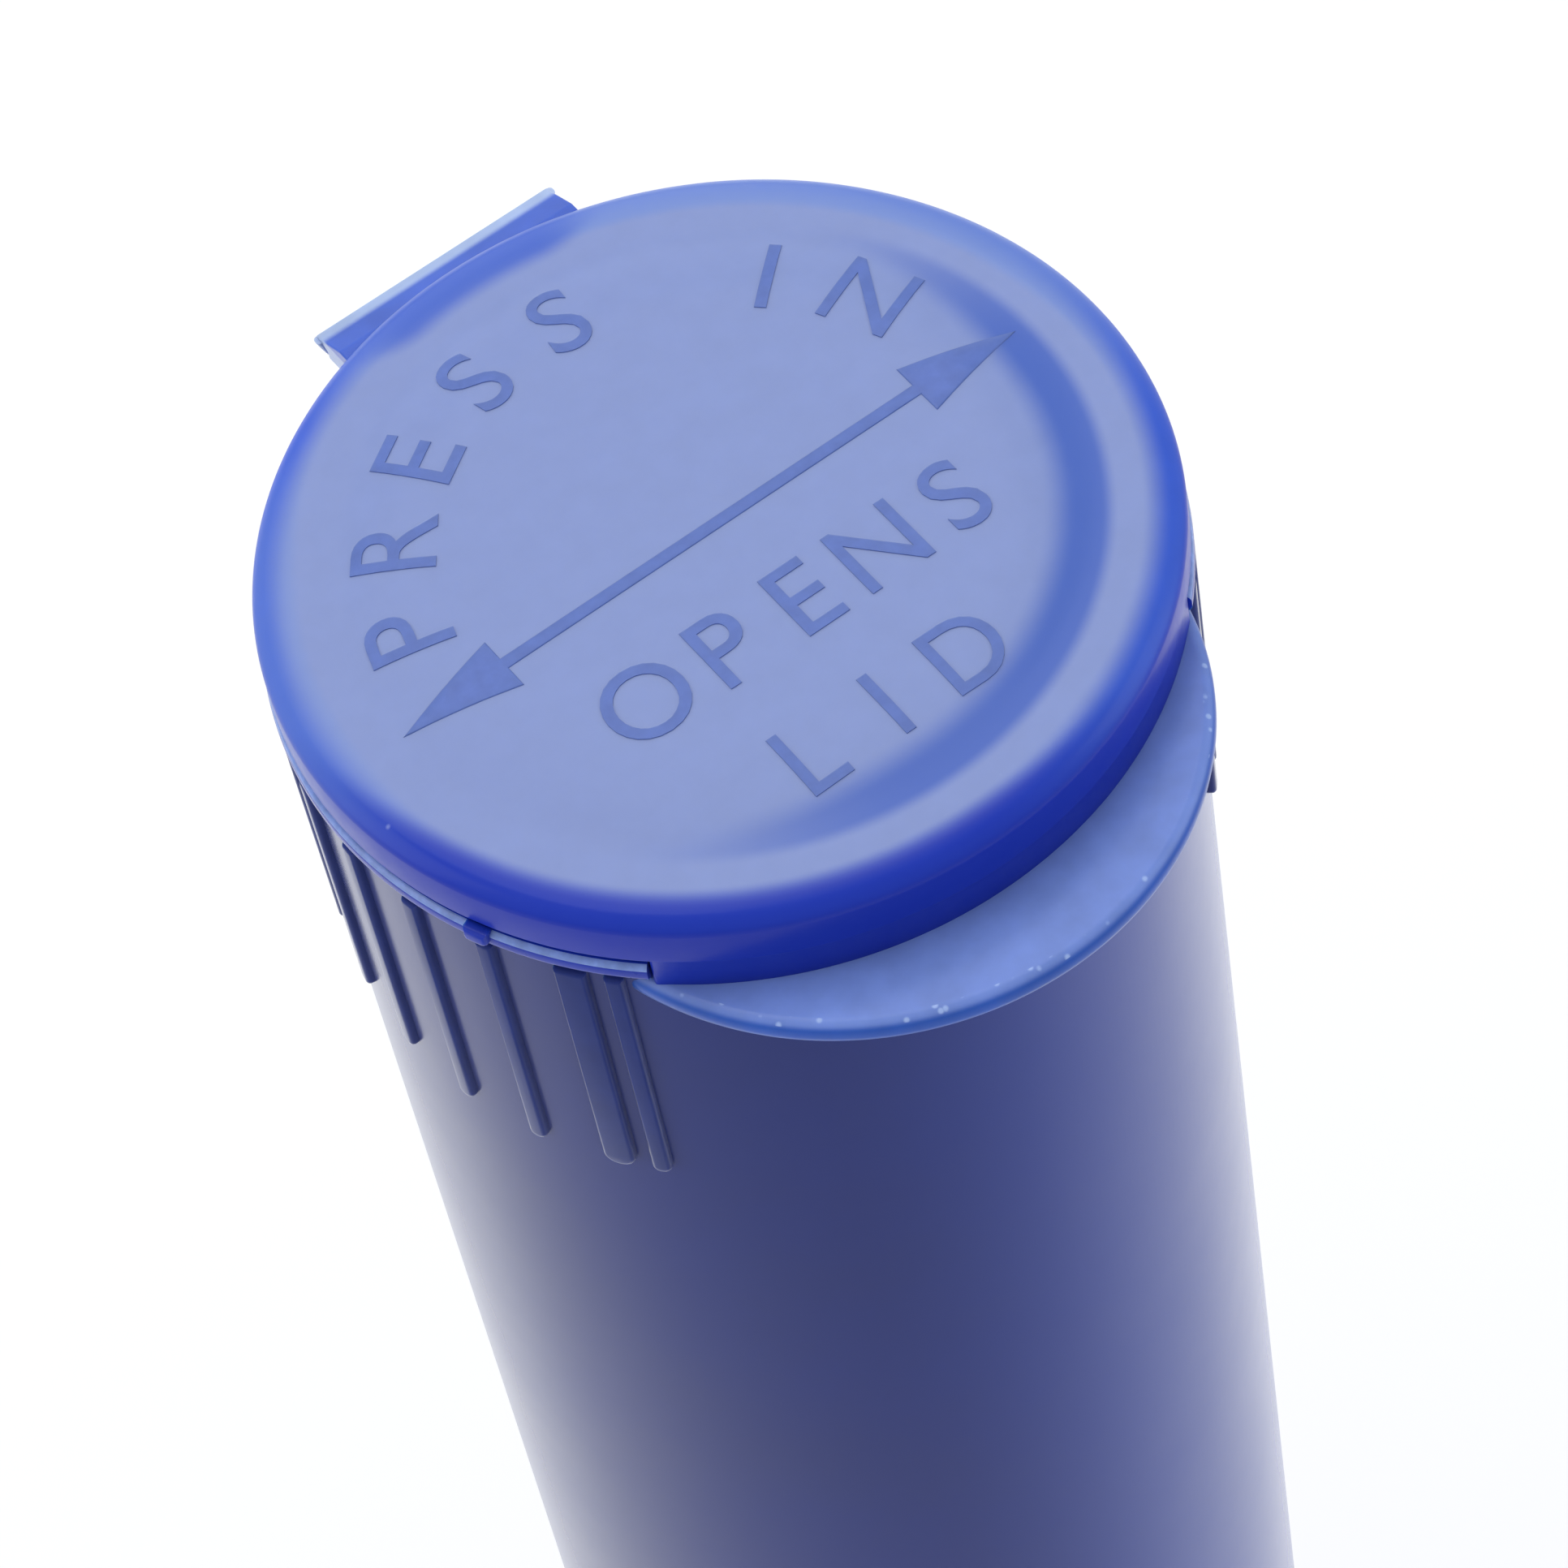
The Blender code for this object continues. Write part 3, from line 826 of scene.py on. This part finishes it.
hingeValues = {
    "inner": 9.6 * mm,  # how far in the lug and the flange are sunk
    "shoulder": 10.3 * mm,  # the flange's top falls away outside this
    "strapIn": 11.17 * mm,
    "strapOut": 11.43 * mm,
    "lugDrop": 0.9 * mm,  # the lug's underside falls by this towards the wall
    "rootDepth": 0.3 * mm,
    "rootTop": 0.08 * mm,
    "rootIn": 0.03 * mm,  # how far the roots reach past the strap's two faces
    "rootOut": 0.01 * mm,
    "rootLap": 0.02 * mm,
    "lugFillet": 0.1 * mm,
    "flangeFillet": 0.12 * mm,
    "strapSunk": 0.2 * mm,
    "strapShare": 0.6,  # how far up the flange's root the strap runs
    "edgeRound": 0.10 * mm,
    "softRound": 0.06 * mm,
    "foldAngle": 0.3,
    "bendLow": 0.30 * mm,  # half of the length that bends at each line
    "bendHigh": 0.13 * mm,
    "overlap": 0.01 * mm,
    "footHalf": 2.75 * mm,  # half of the strap's width at its foot
    "flare": 0.6,  # under 1, the strap widens fastest near its foot
}


def prism(name, outline, width, material):
    # an outline of (y, z) points, drawn out sideways and rounded
    bm = bmesh.new()
    face = bm.faces.new([bm.verts.new((-width / 2, y, z)) for y, z in outline])
    drawOut(bm, [face], (width, 0, 0))
    bmesh.ops.recalc_face_normals(bm, faces=bm.faces)
    roundOff(bm, foldedEdges(bm, hingeValues["foldAngle"]), hingeValues["softRound"], 4, clamp=True)
    piece = finishPiece(name, bm, material)
    evenFlats(piece)
    return piece


def makeStrapHalf(name, low, high):
    v = hingeValues
    webLow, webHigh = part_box("hinge_web")
    width = webHigh.x - webLow.x
    bm = bmesh.new()
    bmesh.ops.create_grid(bm, x_segments=6, y_segments=30, size=0.5)
    turnAll(bm, math.pi / 2, "X")
    drawOut(bm, list(bm.faces), (0, 1, 0))
    bmesh.ops.scale(bm, vec=(width, v["strapOut"] - v["strapIn"], high - low), verts=bm.verts)
    bmesh.ops.translate(bm, vec=(0, v["strapIn"], (low + high) / 2), verts=bm.verts)
    bmesh.ops.recalc_face_normals(bm, faces=bm.faces)
    side = width / 2 - v["overlap"]
    upright = [edge for edge in foldedEdges(bm) if all(abs(vert.co.x) > side for vert in edge.verts)
               and abs(edge.verts[0].co.y - edge.verts[1].co.y) < v["overlap"]]
    roundOff(bm, upright, v["edgeRound"], 4)
    strap = finishPiece(name, bm, webBlue)
    rest = strap.data.attributes.new("restPlace", "FLOAT_VECTOR", "POINT")
    for vert, value in zip(strap.data.vertices, rest.data):
        value.vector = vert.co
    for vert in strap.data.vertices:
        share = min(1, max(0, (vert.co.z - webLow.z) / (webHigh.z - webLow.z)))
        half = v["footHalf"] + (width / 2 - v["footHalf"]) * share ** v["flare"]
        vert.co.x *= half / (width / 2)
    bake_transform(strap)
    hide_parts("hinge_web")


def makeHinge():
    v = hingeValues
    lines = {joint["name"]: Vector(joint["pos_m"]) for joint in frame["joints"]}
    lowLine = lines["web_bend"]
    highLine = lines["lid_swing"]
    middle = (lowLine.z + highLine.z) / 2
    rootIn = v["strapIn"] - v["rootIn"]
    rootOut = v["strapOut"] + v["rootOut"]
    low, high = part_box("hinge_lug")
    rootTop = lowLine.z - v["bendLow"]
    lug = prism("hingeLug", [
        (v["inner"], low.z - v["lugDrop"]), (high.y, low.z), (rootOut, rootTop - v["rootDepth"]),
        (rootOut, rootTop), (rootIn, rootTop), (high.y, rootTop + v["lugFillet"]),
        (high.y, high.z), (v["inner"], high.z)], 2 * v["footHalf"], rimBlue)
    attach(lug, "tube")
    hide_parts("hinge_lug")
    low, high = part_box("hinge_flange")
    rootLow = highLine.z + v["bendHigh"]
    rootHigh = rootLow + v["rootTop"]
    flange = prism("hingeFlange", [
        (v["inner"], low.z), (high.y, low.z), (high.y, rootLow - v["flangeFillet"]),
        (rootIn, rootLow - v["rootLap"]), (rootOut, rootLow - v["rootLap"]), (rootOut, rootHigh),
        (high.y + v["lugFillet"], rootHigh + v["flangeFillet"]), (v["shoulder"], high.z),
        (v["inner"], high.z)], high.x - low.x, flangeBlue)
    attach(flange, "lid")
    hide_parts("hinge_flange")
    makeStrapHalf("hingeStrapLow", rootTop - v["strapSunk"], middle + v["overlap"])
    makeStrapHalf("hingeStrapHigh", middle - v["overlap"], rootLow + v["rootTop"] * v["strapShare"])


makeHinge()
print("hinge made")


# raised marks: a double arrow towards the two squeeze sides, and generic words
markValues = {
    "sunk": 97.70 * mm,
    "top": 98.025 * mm,
    "cuts": 24,
    "cutPitch": 0.36 * mm,
    "cutMerge": 1e-8,
    "smoothness": 6,
    "arcWord": "PRESS IN",
    "arcStart": math.radians(163),
    "arcEnd": math.radians(24),
    "arcFoot": 6.2 * mm,
    "arcHeight": 2.1 * mm,
    # word, middle across, foot, letter height, pitch
    "lines": (("OPENS", 0.3 * mm, -3.90 * mm, 2.1 * mm, 2.12 * mm),
              ("LID", 0.0, -7.35 * mm, 1.95 * mm, 2.15 * mm)),
    "capital": 0.73,  # height of a capital in a letter of size 1
    "widen": 0.95,
    "thicken": 0.003,
    "edgeRound": 0.03 * mm,
    "arrowTip": 8.5 * mm,
    "headBase": 5.7 * mm,
    "headHalf": 0.77 * mm,
    "shaftHalf": 0.17 * mm,
}


def letterMesh(letter, height):
    v = markValues
    curve = bpy.data.curves.new("letter", "FONT")
    curve.body = letter
    curve.align_x = "CENTER"
    curve.offset = v["thicken"]
    curve.resolution_u = v["smoothness"]
    curve.extrude = 0.5
    guide = bpy.data.objects.new("letter", curve)
    bpy.context.collection.objects.link(guide)
    evaluated = guide.evaluated_get(bpy.context.evaluated_depsgraph_get())
    mesh = bpy.data.meshes.new_from_object(evaluated)
    dropGuide(guide)
    size = height / v["capital"]
    mesh.transform(Matrix.Diagonal((size * v["widen"], size, v["top"] - v["sunk"], 1)))
    return mesh


def layOnCrown(bm):
    # cut fine enough to follow the crown's shoulder, then let down onto it
    v = markValues
    for axis in ((1, 0, 0), (0, 1, 0)):
        for number in range(-v["cuts"], v["cuts"] + 1):
            bmesh.ops.bisect_plane(bm, geom=bm.verts[:] + bm.edges[:] + bm.faces[:],
                                   dist=v["cutMerge"], plane_no=axis,
                                   plane_co=Vector(axis) * v["cutPitch"] * number)
    crown = BVHTree.FromPolygons([vert.co for vert in lidDisc.data.vertices],
                                 [face.vertices for face in lidDisc.data.polygons])
    for vert in bm.verts:
        above = Vector((vert.co.x, vert.co.y, lidTop.z + cutterReach))
        vert.co.z += crown.ray_cast(above, Vector((0, 0, -1)))[0].z - lidTop.z


def makeMarks():
    v = markValues
    bm = bmesh.new()
    level = (v["sunk"] + v["top"]) / 2

    def addLetter(letter, height, place):
        mesh = letterMesh(letter, height)
        mesh.transform(place)
        bm.from_mesh(mesh)
        bpy.data.meshes.remove(mesh)

    steps = len(v["arcWord"]) - 1
    for number, letter in enumerate(v["arcWord"]):
        if letter != " ":
            turn = v["arcStart"] + (v["arcEnd"] - v["arcStart"]) * number / steps
            addLetter(letter, v["arcHeight"], Matrix.Translation((0, 0, level))
                      @ Matrix.Rotation(turn - math.pi / 2, 4, "Z")
                      @ Matrix.Translation((0, v["arcFoot"], 0)))
    for word, across, foot, height, pitch in v["lines"]:
        for number, letter in enumerate(word):
            shift = across + pitch * (number - (len(word) - 1) / 2)
            addLetter(letter, height, Matrix.Translation((shift, foot, level)))
    bmesh.ops.remove_doubles(bm, verts=bm.verts, dist=mergeDistance)
    layOnCrown(bm)
    marks = finishPiece("lidWords", bm, markBlue)
    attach(marks, "lid")

    tip, base, half, shaft = v["arrowTip"], v["headBase"], v["headHalf"], v["shaftHalf"]
    outline = [(tip, 0), (base, half), (base, shaft), (-base, shaft), (-base, half),
               (-tip, 0), (-base, -half), (-base, -shaft), (base, -shaft), (base, -half)]
    bm = bmesh.new()
    face = bm.faces.new([bm.verts.new((x, y, v["sunk"])) for x, y in outline])
    raised = drawOut(bm, [face], (0, 0, v["top"] - v["sunk"]))
    bmesh.ops.recalc_face_normals(bm, faces=bm.faces)
    topEdges = [edge for edge in bm.edges if all(vert in raised for vert in edge.verts)]
    roundOff(bm, topEdges, v["edgeRound"], 3)
    layOnCrown(bm)
    arrow = finishPiece("lidArrow", bm, markBlue)
    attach(arrow, "lid")


makeMarks()
print("marks made")
